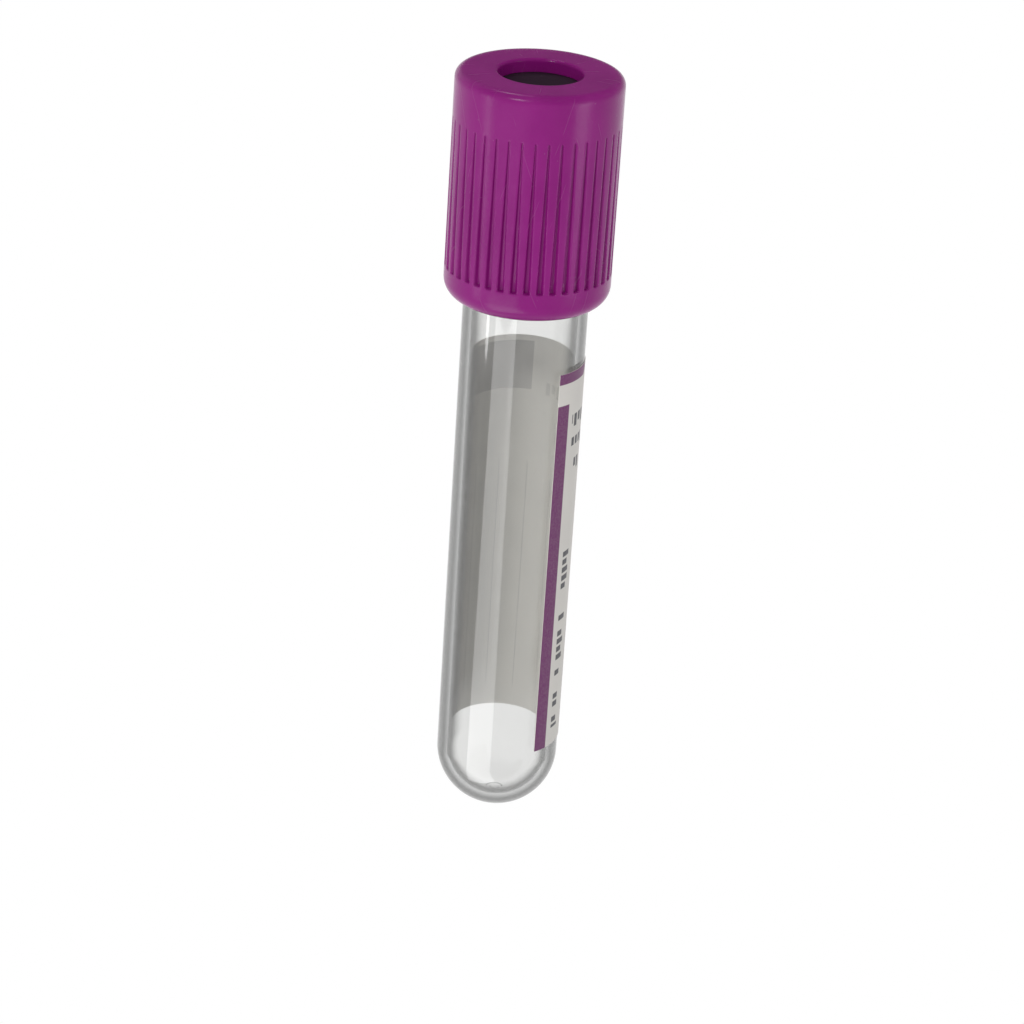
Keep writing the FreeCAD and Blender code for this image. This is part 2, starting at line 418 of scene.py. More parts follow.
def clear_plastic(settings):
    """Clear moulded plastic: slightly grey, with flow lines, a faint haze and painted shade where seen
    edge on.
    """
    material, tree, output = new_material("Clear plastic")
    place = add_node(tree, "ShaderNodeTexCoord").outputs["Object"]
    stretched = add_node(tree, "ShaderNodeMapping", {"Vector": place, "Scale": (1.0, 1.0, 0.05)})
    flow = noise(tree, stretched.outputs["Vector"], 420.0, 2.0)
    marks = place_group(tree, handling_marks())
    skin = place_group(tree, moulded_skin())
    height = weighted_sum(tree, 0.0, (flow, 1.0), (marks["Scratches"], -0.25))
    roughness = weighted_sum(
        tree,
        settings.haze,
        (skin["Clouds"], 0.02),
        (marks["Scratches"], 0.12),
        (marks["Dust"], 0.2),
    )
    # Painted shade: where the wall is seen edge on, a Layer Weight blends the base colour towards a
    # dark colour, so that the tube's outline reads dark.
    slant = add_node(tree, "ShaderNodeLayerWeight", {"Blend": 0.5}).outputs["Facing"]
    painted_edge_share = ramp(tree, slant, 0.33, 0.63)
    plastic = add_node(
        tree,
        "ShaderNodeBsdfPrincipled",
        {
            "Base Color": blend(tree, painted_edge_share, (*settings.tint, 1.0), (*settings.painted_edge_shade, 1.0)),
            "Roughness": roughness,
            "IOR": settings.refraction,
            "Transmission Weight": 1.0,
            "Normal": bump(tree, height, 0.004 * MM),
        },
    )
    # Lamps shine straight through it, so that its shadow stays light.
    passing = add_node(tree, "ShaderNodeBsdfTransparent", {"Color": (0.96, 0.96, 0.96, 1.0)})
    shadow = add_node(tree, "ShaderNodeLightPath").outputs["Is Shadow Ray"]
    surface = mix_shaders(tree, shadow, plastic.outputs["BSDF"], passing.outputs["BSDF"])
    tree.links.new(surface, output.inputs["Surface"])
    depth = add_node(
        tree,
        "ShaderNodeVolumeAbsorption",
        {"Color": (*settings.depth_tint, 1.0), "Density": settings.depth_density},
    )
    tree.links.new(depth.outputs["Volume"], output.inputs["Volume"])
    return material


def purple_plastic(settings):
    """Purple moulded plastic of the cap, satin, with handling marks."""
    material, tree, output = new_material("Purple plastic")
    skin = place_group(tree, moulded_skin(), **{"Clouds per metre": 120.0})
    marks = place_group(tree, handling_marks())
    full = (*settings.colour, 1.0)
    pale = (*(min(1.0, value * 1.35 + 0.012) for value in settings.colour), 1.0)
    worn = (*(value * 0.6 + 0.22 for value in settings.colour), 1.0)
    colour = blend(tree, product(tree, skin["Clouds"], 0.35), full, pale)
    scuffs = weighted_sum(tree, 0.0, (marks["Scratches"], 0.14), (marks["Dust"], 0.22))
    colour = blend(tree, scuffs, colour, worn)
    roughness = weighted_sum(
        tree,
        settings.roughness,
        (skin["Clouds"], 0.07),
        (skin["Grain"], 0.05),
        (marks["Scratches"], 0.2),
    )
    height = weighted_sum(tree, 0.0, (skin["Grain"], 1.0), (marks["Scratches"], -0.6))
    cover(
        tree,
        output,
        {
            "Base Color": colour,
            "Roughness": roughness,
            "IOR": 1.49,
            "Specular IOR Level": 0.2,
            "Normal": bump(tree, height, 0.006 * MM),
        },
    )
    return material


def stopper_rubber(settings):
    """Dark moulded rubber with a dull grain and a bloom of dust."""
    material, tree, output = new_material("Stopper rubber")
    skin = place_group(tree, moulded_skin(), **{"Grain per metre": 6000.0})
    marks = place_group(tree, handling_marks(), **{"Dust per metre": 1900.0})
    full = (*settings.colour, 1.0)
    bloom = (*(value * 1.4 + 0.008 for value in settings.colour), 1.0)
    dust = (0.2, 0.19, 0.2, 1.0)
    colour = blend(tree, product(tree, skin["Clouds"], 0.4), full, bloom)
    colour = blend(tree, product(tree, marks["Dust"], 0.3), colour, dust)
    roughness = weighted_sum(tree, settings.roughness, (skin["Clouds"], 0.1))
    cover(
        tree,
        output,
        {
            "Base Color": colour,
            "Roughness": roughness,
            "IOR": 1.52,
            "Specular IOR Level": 0.2,
            "Normal": bump(tree, skin["Grain"], 0.02 * MM),
        },
    )
    return material


def block_print(tree, along, across, start, end, low, high, pitch, seed):
    """Return the mask of one printed line: a row of plain blocks, some of them left out.

    The row runs from start to end along one direction, between low and high
    across it. Blocks differ in height, and a missing one parts two words.
    """
    missing = 0.2  # share of the blocks that are left out
    short = 0.6  # share that are left out or short
    stub = 0.72  # height of a short block, as a share of a tall one
    cell = calc(tree, "DIVIDE", along, pitch)
    inside = band(tree, calc(tree, "FRACT", cell), 0.16, 0.84, 0.06)
    chance = one_in_each(tree, calc(tree, "ADD", calc(tree, "FLOOR", cell), seed))
    printed = calc(tree, "GREATER_THAN", chance, missing)
    tall = calc(tree, "GREATER_THAN", chance, short)
    top = weighted_sum(tree, low + (high - low) * stub, (tall, (high - low) * (1.0 - stub)))
    under = calc(tree, "LESS_THAN", across, top)
    row = band(tree, across, low, high, 0.05)
    reach = band(tree, along, start, end, SOFT)
    return product(tree, inside, printed, row, under, reach)


def label_paper(settings):
    """White label paper with its purple stripe and corner bar and rows of plain blocks."""
    material, tree, output = new_material("Label paper")
    wrap = settings.wrap * LABEL_RADIUS / MM
    height = (LABEL_HIGH.z - LABEL_LOW.z) / MM
    flat = add_node(tree, "ShaderNodeUVMap", uv_map="Label").outputs["UV"]
    flat = add_node(tree, "ShaderNodeMapping", {"Vector": flat, "Scale": (wrap, height, 1.0)})
    split = add_node(tree, "ShaderNodeSeparateXYZ", {"Vector": flat.outputs["Vector"]}).outputs
    up = split["Y"]
    down = calc(tree, "SUBTRACT", height, up)
    # Bring the glued side, which is laid out to the left, onto the printed side.
    glued = calc(tree, "LESS_THAN", split["X"], -0.5 * wrap)
    across = weighted_sum(tree, split["X"], (glued, GLUED_SIDE * wrap))

    past = 1.0  # how far a box runs past the paper's edge, so that it ends with the paper
    wide = settings.stripe_width / MM
    stripe = box_mask(tree, across, down, 0.0, wide, settings.stripe_start / MM, height + past)
    slanted = weighted_sum(tree, across, (down, 0.7))
    wide = settings.bar_length / MM
    corner = box_mask(tree, slanted, down, -past, wide, -past, settings.bar_height / MM)
    # Ink stops at the paper's cut edges and shows faintly through to the glued side.
    on_face = band(tree, up, -0.5, height + 0.5, 0.01)
    through = ramp(tree, glued, 0.0, 1.0, 1.0, settings.show_through)
    on_face = product(tree, on_face, through)
    purple = product(tree, calc(tree, "MAXIMUM", stripe, corner), on_face)

    black = 0.0
    for way, *row in PRINT_ROWS:
        along, beside = (across, down) if way == "across" else (down, across)
        black = calc(tree, "MAXIMUM", black, block_print(tree, along, beside, *row))
    for place in RULED_LINES:
        line = box_mask(tree, across, down, place, place + LINE_WIDTH, LINE_START, LINE_END)
        black = calc(tree, "MAXIMUM", black, line)
    black = product(tree, black, on_face)
    # A darker grey band at the far upper corner of the label, which shows partly through on its glued
    # side.
    margin = 0.6
    start = wrap - settings.block_width / MM
    block = box_mask(tree, across, down, start, wrap - margin, margin, settings.block_height / MM)
    block = product(tree, block, ramp(tree, glued, 0.0, 1.0, 1.0, settings.block_through))

    object_space = add_node(tree, "ShaderNodeTexCoord").outputs["Object"]
    fibres = noise(tree, object_space, 5200.0, 5.0, 0.7)
    clouds = noise(tree, object_space, 240.0, 3.0)
    paper = blend(tree, glued, (*settings.paper, 1.0), (*settings.backing, 1.0))
    uneven = ramp(tree, clouds, 0.35, 0.65, 0.0, 0.06)
    colour = blend(tree, uneven, paper, (0.4, 0.4, 0.4, 1.0))
    speckle = ramp(tree, fibres, 0.3, 0.7, 0.92)
    band_and_inks = (settings.dark_band_colour, settings.stripe_ink, settings.text_ink)
    for mask, ink in zip((block, purple, black), band_and_inks):
        colour = blend(tree, product(tree, mask, speckle), colour, (*ink, 1.0))
    inked = calc(tree, "MAXIMUM", purple, black)
    roughness = weighted_sum(tree, 0.5, (fibres, 0.12), (inked, -0.14))
    cover(
        tree,
        output,
        {
            "Base Color": colour,
            "Roughness": roughness,
            "Specular IOR Level": 0.35,
            "Normal": bump(tree, fibres, 0.008 * MM),
        },
    )
    return material


# ---------------------------------------------------------------- settings


def length(name, description, millimetres):
    """A length property, stored in metres."""
    return FloatProperty(
        name=name,
        description=description,
        default=millimetres * MM,
        min=0.0,
        unit="LENGTH",
        subtype="DISTANCE",
        precision=5,
    )


def degrees(name, description, value):
    """An angle property, given in degrees and stored in radians."""
    return FloatProperty(
        name=name,
        description=description,
        default=math.radians(value),
        unit="ROTATION",
        subtype="ANGLE",
    )


def fraction(name, description, value):
    """A property from none at 0 to full at 1."""
    return FloatProperty(
        name=name, description=description, default=value, min=0.0, max=1.0, subtype="FACTOR"
    )


def colour(name, description, value):
    """A colour property."""
    return FloatVectorProperty(
        name=name, description=description, default=value, size=3, min=0.0, max=1.0, subtype="COLOR"
    )


class TubeSettings(bpy.types.PropertyGroup):
    """Sizes and finish of the clear tube."""

    wall: length("Wall", "Thickness of the tube's wall", 1.05)
    rim_round: length("Rim Rounding", "Rounding of both edges of the rim", 0.3)
    gate_radius: length("Gate Radius", "Moulding mark on the round bottom", 1.1)
    gate_depth: length("Gate Depth", "How deep its ring is sunk", 0.08)
    haze: fraction("Haze", "Roughness of the clear surface", 0.025)
    refraction: FloatProperty(
        name="Refraction", description="Index of refraction of the plastic", default=1.575, min=1.0
    )
    tint: colour("Tint", "Colour of light that passes a surface", (0.985, 0.985, 0.98))
    # Painted shade: the dark colour given to the wall where it is seen edge on.
    painted_edge_shade: colour("Edge Tint", "The same where the wall is seen edge on", (0.07, 0.07, 0.068))
    depth_tint: colour("Depth Tint", "Colour that thick plastic turns", (0.35, 0.36, 0.35))
    depth_density: FloatProperty(
        name="Depth Density", description="How fast thick plastic darkens", default=180.0, min=0.0
    )


class StopperSettings(bpy.types.PropertyGroup):
    """Sizes and finish of the rubber stopper."""

    plug_gap: length("Plug Gap", "Clearance between sealing bands and bore", 0.03)
    seal_relief: length("Seal Relief", "Depth of the waist between the bands", 0.3)
    seal_height: length("Seal Height", "Height of each sealing band", 2.6)
    waist_height: length("Waist Height", "Height of the waist", 1.4)
    plug_lead: length("Plug Lead", "How far the plug's end draws in", 0.8)
    well_radius: length("Well Radius", "Well in the end of the plug", 2.8)
    well_depth: length("Well Depth", "Depth of the well to its dome", 6.0)
    dish_margin: length("Dish Margin", "Flat ring between dish and port", 0.4)
    dish_depth: length("Dish Depth", "Dish where the needle pierces", 0.45)
    roughness: fraction("Roughness", "Dullness of the rubber", 0.55)
    colour: colour("Colour", "Colour of the rubber", (0.024, 0.009, 0.022))


class CapSettings(bpy.types.PropertyGroup):
    """Sizes and finish of the safety cap."""

    wall: length("Wall", "Thickness of the skirt", 1.25)
    top_round: length("Top Rounding", "Rounding of the top's outer edge", 0.9)
    port_round: length("Port Rounding", "Rounding of the needle port's edge", 0.3)
    collar_round: length("Collar Rounding", "Radius that draws the collar in", 2.0)
    collar_land: length("Collar Land", "Flat ring at the collar's edge", 0.25)
    ring_reach: length("Ring Reach", "How far the retaining ring stands in", 0.45)
    ring_height: length("Ring Height", "Height of the retaining ring", 1.0)
    rib_count: IntProperty(name="Rib Count", description="Grip ribs round the cap", default=40, min=3)
    collar_height: length("Collar Height", "Plain collar below the ribs", 3.0)
    band_height: length("Band Height", "Plain band above the ribs", 4.7)
    groove_depth: length("Groove Depth", "Depth of a groove at the collar", 0.5)
    groove_mouth: length("Groove Mouth", "Width of a groove at the collar", 0.85)
    groove_floor: length("Groove Floor", "Width of its floor at the collar", 0.3)
    groove_fade: fraction("Groove Fade", "Share of a groove left at its far end", 0.25)
    roughness: fraction("Roughness", "Dullness of the plastic", 0.16)
    colour: colour("Colour", "Colour of the plastic", (0.225, 0.006, 0.165))


class LabelSettings(bpy.types.PropertyGroup):
    """Sizes and colours of the paper label."""

    start: degrees("Start Angle", "Printed edge, from the front", 38.0)
    wrap: degrees("Wrap Angle", "Angle that the label covers", 220.0)
    bedding: length("Bedding", "How far the adhesive beds into the tube's surface", 0.02)
    stripe_width: length("Stripe Width", "Purple stripe down the printed edge", 1.6)
    stripe_start: length("Stripe Start", "White gap above the stripe", 3.5)
    bar_length: length("Bar Length", "Purple bar at the upper corner", 5.4)
    bar_height: length("Bar Height", "Height of that bar", 1.15)
    # The grey block is a darker band at the far upper corner of the label, also seen on its glued side.
    block_width: length("Block Width", "Grey block at the far upper corner", 10.2)
    block_height: length("Block Height", "Height of that block", 6.0)
    paper: colour("Paper", "Colour of the paper", (0.63, 0.61, 0.58))
    backing: colour("Backing", "Colour of the paper's glued side", (0.79, 0.765, 0.72))
    dark_band_colour: colour("Dark Band Colour", "Colour of the grey block", (0.22, 0.21, 0.22))
    show_through: fraction("Show Through", "Share of the print seen from the glued side", 0.2)
    block_through: fraction("Block Through", "The same for the grey block", 0.45)
    stripe_ink: colour("Stripe Ink", "Colour of stripe and bar", (0.12, 0.011, 0.1))
    text_ink: colour("Text Ink", "Colour of the printed blocks", (0.035, 0.035, 0.045))


class StageSettings(bpy.types.PropertyGroup):
    """Camera and light."""

    camera_reach: length("Camera Reach", "Distance of the camera from the tube's axis", 340.0)
    camera_drop: length("Camera Drop", "How far the camera is past the cap's top", 105.0)
    aim: degrees("Aim", "Angle between the middle of the view and the cap's top", 24.2)
    field: degrees("Field", "Angle that the view covers", 16.3)
    roll: degrees("Roll", "Lean of the tube in the view", 3.75)
    sky: FloatProperty(
        name="Sky Light", description="Strength of the even light from all round", default=0.5, min=0.0
    )


# ---------------------------------------------------------------- pieces


def tube_outline(size):
    """Outline of the tube's wall, from the tip outside to the tip inside."""
    bore = MOUTH_RADIUS - size.wall
    inner = SHANK_RADIUS - size.wall

    def on_bottom(share, depth=0.0):
        across = size.gate_radius * share
        return across, SHANK_END + math.sqrt(SHANK_RADIUS**2 - across**2) - depth

    ring = size.gate_depth
    fine = (0.04 * MM,)
    gate = rounded(
        [
            (0.0, TIP),
            on_bottom(0.2),
            on_bottom(0.45) + fine,
            on_bottom(0.55, ring) + fine,
            on_bottom(0.88, ring) + fine,
            on_bottom(1.0) + fine,
            on_bottom(1.2),
        ],
        closed=False,
    )
    gate_edge = math.degrees(math.acos(size.gate_radius * 1.2 / SHANK_RADIUS))
    bottom = arc((0.0, SHANK_END), SHANK_RADIUS, gate_edge, 0.0, 28)[1:]
    sides = rounded(
        [
            bottom[-1],
            (SHANK_RADIUS, SHANK_START),
            (MOUTH_RADIUS, RIM, size.rim_round),
            (bore, RIM, size.rim_round),
            (bore, SHANK_START),
            (inner, SHANK_END),
        ],
        closed=False,
    )
    hollow = arc((0.0, SHANK_END), inner, 0.0, 90.0, 28)
    hollow[-1] = (0.0, hollow[-1][1])
    return gate + bottom + sides[1:] + hollow[1:]


def stopper_outline(size):
    """Outline of the stopper, from the dish to the dome of the well."""
    seal = MOUTH_RADIUS - bpy.context.scene.clear_tube.wall - size.plug_gap
    waist = seal - size.seal_relief
    slope = size.seal_relief
    waist_low = RIM + size.seal_height
    waist_high = waist_low + size.waist_height
    band_end = waist_high + size.seal_height
    dish = PORT_RADIUS - size.dish_margin
    depth = size.dish_depth
    dish_radius = (dish * dish + depth * depth) / (2 * depth)
    dish_edge = math.degrees(math.acos(dish / dish_radius))
    dish_centre = (0.0, CEILING + depth - dish_radius)
    dished = arc(dish_centre, dish_radius, 90.0, dish_edge, 10)
    dished[0] = (0.0, dished[0][1])
    fine = 0.15 * MM
    sides = rounded(
        [
            dished[-1],
            (FLANGE_RADIUS, CEILING, fine),
            (FLANGE_RADIUS, RIM, fine),
            (seal, RIM, 0.05 * MM),
            (seal, waist_low, fine),
            (waist, waist_low + slope, fine),
            (waist, waist_high - slope, fine),
            (seal, waist_high, fine),
            (seal, band_end, 0.5 * MM),
            (seal - size.plug_lead, PLUG_FOOT, fine),
            (size.well_radius, PLUG_FOOT, fine),
            (size.well_radius, PLUG_FOOT - size.well_depth + size.well_radius),
        ],
        closed=False,
    )
    dome = arc((0.0, sides[-1][1]), size.well_radius, 0.0, -90.0, 14)
    dome[-1] = (0.0, dome[-1][1])
    return dished + sides[1:] + dome[1:]


def cap_outline(size):
    """Outline of the cap's wall, a closed loop, with rings where the ribs need them."""
    inside = CAP_RADIUS - size.wall
    foot = inside + size.collar_land
    bend = size.collar_round
    bend_centre = (
        CAP_RADIUS - bend,
        SKIRT_END - math.sqrt(bend**2 - (bend - (CAP_RADIUS - foot)) ** 2),
    )
    bend_start = math.degrees(math.acos((foot - bend_centre[0]) / bend))
    collar = arc(bend_centre, bend, bend_start, 0.0, 12)
    grooves = rib_rings(size)
    ring = inside - size.ring_reach
    fine = 0.06 * MM
    rest = rounded(
        [
            (CAP_RADIUS, grooves[-1]),
            (CAP_RADIUS, CAP_LOW.z, size.top_round),
            (PORT_RADIUS, CAP_LOW.z, size.port_round),
            (PORT_RADIUS, CEILING, fine),
            (inside, CEILING, fine),
            (inside, RIM, fine),
            (ring, RIM, fine),
            (ring, RIM + size.ring_height, fine),
            (inside, RIM + size.ring_height + size.ring_reach, fine),
            (inside, SKIRT_END, fine),
            (foot, SKIRT_END),
        ],
        closed=False,
    )
    return collar + [(CAP_RADIUS, height) for height in grooves] + rest[1:-1]


def rib_rings(size):
    """Heights of the rings that the ribs need, close together where the grooves end."""
    low = SKIRT_END - size.collar_height
    high = CAP_LOW.z + size.band_height
    parts = 14
    beyond = 0.1 * MM
    ends = [step * GROOVE_SLOPE / 4 for step in range(5)]
    at_collar = [low + beyond] + [low - end for end in ends]
    between = [low + (high - low) * step / parts for step in range(1, parts)]
    at_band = [high + end for end in reversed(ends)] + [high - beyond]
    return at_collar + between + at_band


def rib_tree():
    """Geometry Nodes tree that presses the grip grooves into a turned cap."""
    tree = bpy.data.node_groups.new("Grip ribs", "GeometryNodeTree")
    tree.is_modifier = True
    for name, kind in (
        ("Geometry", "Geometry"),
        ("Rib Count", "Int"),
        ("Outside Radius", "Float"),
        ("Collar End", "Float"),
        ("Band End", "Float"),
        ("Groove Depth", "Float"),
        ("Groove Mouth", "Float"),
        ("Groove Floor", "Float"),
        ("Groove Fade", "Float"),
        ("Material", "Material"),
    ):
        tree.interface.new_socket(name, in_out="INPUT", socket_type="NodeSocket" + kind)
    tree.interface.new_socket("Geometry", in_out="OUTPUT", socket_type="NodeSocketGeometry")
    given = tree.nodes.new("NodeGroupInput").outputs
    out = tree.nodes.new("NodeGroupOutput")

    place = add_node(tree, "GeometryNodeInputPosition").outputs["Position"]
    split = add_node(tree, "ShaderNodeSeparateXYZ", {"Vector": place}).outputs
    level = add_node(tree, "ShaderNodeCombineXYZ", {"X": split["X"], "Y": split["Y"]})
    level = level.outputs["Vector"]
    radius = add_node(tree, "ShaderNodeVectorMath", {0: level}, operation="LENGTH").outputs["Value"]

    # Distance from the middle of the nearest groove, as a share of the pitch.
    angle = calc(tree, "ARCTAN2", split["Y"], split["X"])
    turns = calc(tree, "DIVIDE", product(tree, angle, given["Rib Count"]), math.tau)
    nearest = calc(tree, "ROUND", turns)
    off = calc(tree, "SUBTRACT", turns, nearest)
    distance = calc(tree, "ABSOLUTE", off)
    pitch = calc(tree, "DIVIDE", product(tree, given["Outside Radius"], math.tau), given["Rib Count"])
    mouth = calc(tree, "DIVIDE", product(tree, given["Groove Mouth"], 0.5), pitch)
    floor = calc(tree, "DIVIDE", product(tree, given["Groove Floor"], 0.5), pitch)
    sides = ramp(tree, distance, floor, mouth, 1.0, 0.0)

    # The groove is full size at the collar and fades towards the band. The columns of
    # points draw in with it, so that its edges stay clean.
    share = carry(tree, split["Z"], given["Collar End"], given["Band End"], 1.0, given["Groove Fade"])
    drawn_in = product(tree, mouth, share)
    within = carry(tree, distance, 0.0, mouth, 0.0, drawn_in)
    beyond = carry(tree, distance, mouth, 0.5, 0.0, calc(tree, "SUBTRACT", 0.5, drawn_in))
    side = product(tree, calc(tree, "SIGN", off), calc(tree, "ADD", within, beyond))
    turned = calc(tree, "DIVIDE", calc(tree, "ADD", nearest, side), given["Rib Count"])
    turned = product(tree, turned, math.tau)

    full_low = calc(tree, "SUBTRACT", given["Collar End"], GROOVE_SLOPE)
    full_high = calc(tree, "ADD", given["Band End"], GROOVE_SLOPE)
    collar_end = ramp(tree, split["Z"], given["Collar End"], full_low)
    band_end = ramp(tree, split["Z"], given["Band End"], full_high)
    outermost = calc(tree, "SUBTRACT", given["Outside Radius"], 0.005 * MM)
    on_wall = calc(tree, "GREATER_THAN", radius, outermost)
    depth = product(tree, given["Groove Depth"], share, sides, collar_end, band_end, on_wall)
    pressed = calc(tree, "SUBTRACT", radius, depth)
    place = add_node(
        tree,
        "ShaderNodeCombineXYZ",
        {
            "X": product(tree, calc(tree, "COSINE", turned), pressed),
            "Y": product(tree, calc(tree, "SINE", turned), pressed),
            "Z": split["Z"],
        },
    )

    moved = add_node(
        tree,
        "GeometryNodeSetPosition",
        {"Geometry": given["Geometry"], "Position": place.outputs["Vector"]},
    )
    real = add_node(tree, "GeometryNodeRealizeInstances", {"Geometry": moved.outputs["Geometry"]})
    finished = add_node(
        tree,
        "GeometryNodeSetMaterial",
        {"Geometry": real.outputs["Geometry"], "Material": given["Material"]},
    )
    tree.links.new(finished.outputs["Geometry"], out.inputs["Geometry"])
    return tree


def apply_tree(piece, tree, values):
    """Run a Geometry Nodes tree on a piece, by input name, and keep the result as its mesh."""
    modifier = piece.modifiers.new(tree.name, "NODES")
    modifier.node_group = tree
    sockets = {
        each.name: each.identifier
        for each in tree.interface.items_tree
        if each.item_type == "SOCKET" and each.in_out == "INPUT"
    }
    for name, value in values.items():
        modifier[sockets[name]] = value
    graph = bpy.context.evaluated_depsgraph_get()
    mesh = bpy.data.meshes.new_from_object(piece.evaluated_get(graph), depsgraph=graph)
    piece.modifiers.remove(modifier)
    piece.data = mesh
    mesh.name = piece.name


def label_mesh(size):
    """Curved sheet of paper with a UV map over its printed face."""
    columns, rows = 90, 14
    bm = bmesh.new()
    uv = bm.loops.layers.uv.new("Label")
    layers = []
    for radius in (LABEL_RADIUS, SHANK_RADIUS - size.bedding):
        grid = []
        for column in range(columns + 1):
            turn = size.start + size.wrap * column / columns
            line = []
            for row in range(rows + 1):
                up = LABEL_HIGH.z + (LABEL_LOW.z - LABEL_HIGH.z) * row / rows
                line.append(bm.verts.new((-radius * math.sin(turn), -radius * math.cos(turn), up)))
            grid.append(line)
        layers.append(grid)
    face_grid, back_grid = layers
    for column in range(columns):
        for row in range(rows):
            corners = ((column, row), (column + 1, row), (column + 1, row + 1), (column, row + 1))
            printed = bm.faces.new([face_grid[c][r] for c, r in corners])
            for loop, (c, r) in zip(printed.loops, corners):
                loop[uv].uv = (c / columns, r / rows)
            plain = bm.faces.new([back_grid[c][r] for c, r in corners[::-1]])
            for loop, (c, r) in zip(plain.loops, reversed(corners)):
                loop[uv].uv = (c / columns - GLUED_SIDE, r / rows)
    outline = [(c, 0) for c in range(columns)]
    outline += [(columns, r) for r in range(rows)]
    outline += [(c, rows) for c in range(columns, 0, -1)]
    outline += [(0, r) for r in range(rows, 0, -1)]
    for (c, r), (c2, r2) in zip(outline, outline[1:] + outline[:1]):
        side = bm.faces.new([face_grid[c2][r2], face_grid[c][r], back_grid[c][r], back_grid[c2][r2]])
        for loop in side.loops:
            loop[uv].uv = (-1.0, -1.0)
    return finish_mesh("paper_label", bm)


# ---------------------------------------------------------------- stage


def aim_at(place, target, up, roll=0.0):
    """Return the matrix of a camera or lamp at place that looks at target."""
    ahead = (target - place).normalized()
    right = ahead.cross(up).normalized()
    over = right.cross(ahead)
    turn = Matrix((right, over, -ahead)).transposed()
    return Matrix.Translation(place) @ turn.to_4x4() @ Matrix.Rotation(roll, 4, "Z")


def add_camera(size):
    """Camera in front of the tube, past the cap's top, turned over so the cap is upwards."""
    data = bpy.data.cameras.new("Camera")
    data.lens_unit = "FOV"
    data.angle = size.field
    data.clip_start = 0.01
    data.clip_end = 20.0
    camera = bpy.data.objects.new("Camera", data)
    bpy.context.scene.collection.objects.link(camera)
    place = Vector((0.0, -size.camera_reach, -size.camera_drop))
    target = place + Vector((0.0, math.cos(size.aim), math.sin(size.aim)))
    camera.matrix_world = aim_at(place, target, Vector((0.0, 0.0, -1.0)), size.roll)
    bpy.context.scene.camera = camera


def add_lamp(name, place, target, width, height, power, mirrored):
    """Soft rectangular lamp that shines on target, and may show as a highlight."""
    data = bpy.data.lights.new(name, "AREA")
    data.shape = "RECTANGLE"
    data.size = width
    data.size_y = height
    data.energy = power
    lamp = bpy.data.objects.new(name, data)
    bpy.context.scene.collection.objects.link(lamp)
    lamp.matrix_world = aim_at(Vector(place), Vector(target), Vector((0.0, 0.0, 1.0)))
    lamp.visible_camera = False
    lamp.visible_transmission = False
    lamp.visible_glossy = mirrored


def looking(tree):
    """Return 1 where the camera looks, directly, in a mirror or through glass, and 0 for light."""
    path = add_node(tree, "ShaderNodeLightPath").outputs
    seen = calc(tree, "MAXIMUM", path["Is Camera Ray"], path["Is Glossy Ray"])
    return calc(tree, "MAXIMUM", seen, path["Is Transmission Ray"])


def floor_material():
    """Pale floor that fades to white, seen from above only, so it never hides the cap's top."""
    material, tree, output = new_material("Pale floor")
    coordinates = add_node(tree, "ShaderNodeTexCoord").outputs["Object"]
    away = add_node(tree, "ShaderNodeVectorMath", {0: coordinates}, operation="LENGTH").outputs["Value"]
    far = ramp(tree, away, 0.06, 0.32)
    matt = add_node(tree, "ShaderNodeBsdfDiffuse", {"Color": (0.8, 0.8, 0.8, 1.0)}).outputs["BSDF"]
    glow = add_node(tree, "ShaderNodeEmission", {"Color": WHITE, "Strength": 0.12}).outputs["Emission"]
    lit = add_node(tree, "ShaderNodeAddShader", {0: matt, 1: glow}).outputs["Shader"]
    white = add_node(tree, "ShaderNodeEmission", {"Color": WHITE, "Strength": 1.0})
    surface = mix_shaders(tree, far, lit, white.outputs["Emission"])
    behind = add_node(tree, "ShaderNodeNewGeometry").outputs["Backfacing"]
    seen = product(tree, looking(tree), calc(tree, "SUBTRACT", 1.0, behind))
    clear = add_node(tree, "ShaderNodeBsdfTransparent").outputs["BSDF"]
    tree.links.new(mix_shaders(tree, seen, clear, surface), output.inputs["Surface"])
    return material


def add_floor():
    """Level round floor just under the flat top that the tube stands on."""
    sides = 64
    bm = bmesh.new()
    edge = arc((0.0, 0.0), FLOOR_RADIUS, 0.0, 360.0, sides)[:sides]
    bm.faces.new([bm.verts.new((x, y, -FLOOR_GAP)) for x, y in edge])
    mesh = bpy.data.meshes.new("floor")
    bm.to_mesh(mesh)
    bm.free()
    mesh.materials.append(floor_material())
    new_piece(mesh)


def set_world(size):
    """White surroundings for what is seen, and an even softer light for what is lit."""
    world = bpy.data.worlds.new("Studio")
    bpy.context.scene.world = world
    world.use_nodes = True
    tree = world.node_tree
    tree.nodes.clear()
    strength = ramp(tree, looking(tree), 0.0, 1.0, size.sky)
    sky = add_node(tree, "ShaderNodeBackground", {"Color": WHITE, "Strength": strength})
    output = add_node(tree, "ShaderNodeOutputWorld")
    tree.links.new(sky.outputs["Background"], output.inputs["Surface"])


# ---------------------------------------------------------------- operators


class BLOODTUBE_OT_tube(bpy.types.Operator):
    """Build the clear tube with its round bottom"""

    bl_idname = "blood_tube.tube"
    bl_label = "Clear Tube"

    def execute(self, context):
        size = context.scene.clear_tube
        piece = new_piece(lathe("clear_tube", tube_outline(size), closed=False))
        piece.data.materials.append(clear_plastic(size))
        hand_over(piece, "tube", "tube")
        return {"FINISHED"}


class BLOODTUBE_OT_stopper(bpy.types.Operator):
    """Build the rubber stopper"""

    bl_idname = "blood_tube.stopper"
    bl_label = "Rubber Stopper"

    def execute(self, context):
        size = context.scene.rubber_stopper
        piece = new_piece(lathe("rubber_stopper", stopper_outline(size), closed=False))
        piece.data.materials.append(stopper_rubber(size))
        hand_over(piece, "stopper", "stopper")
        return {"FINISHED"}


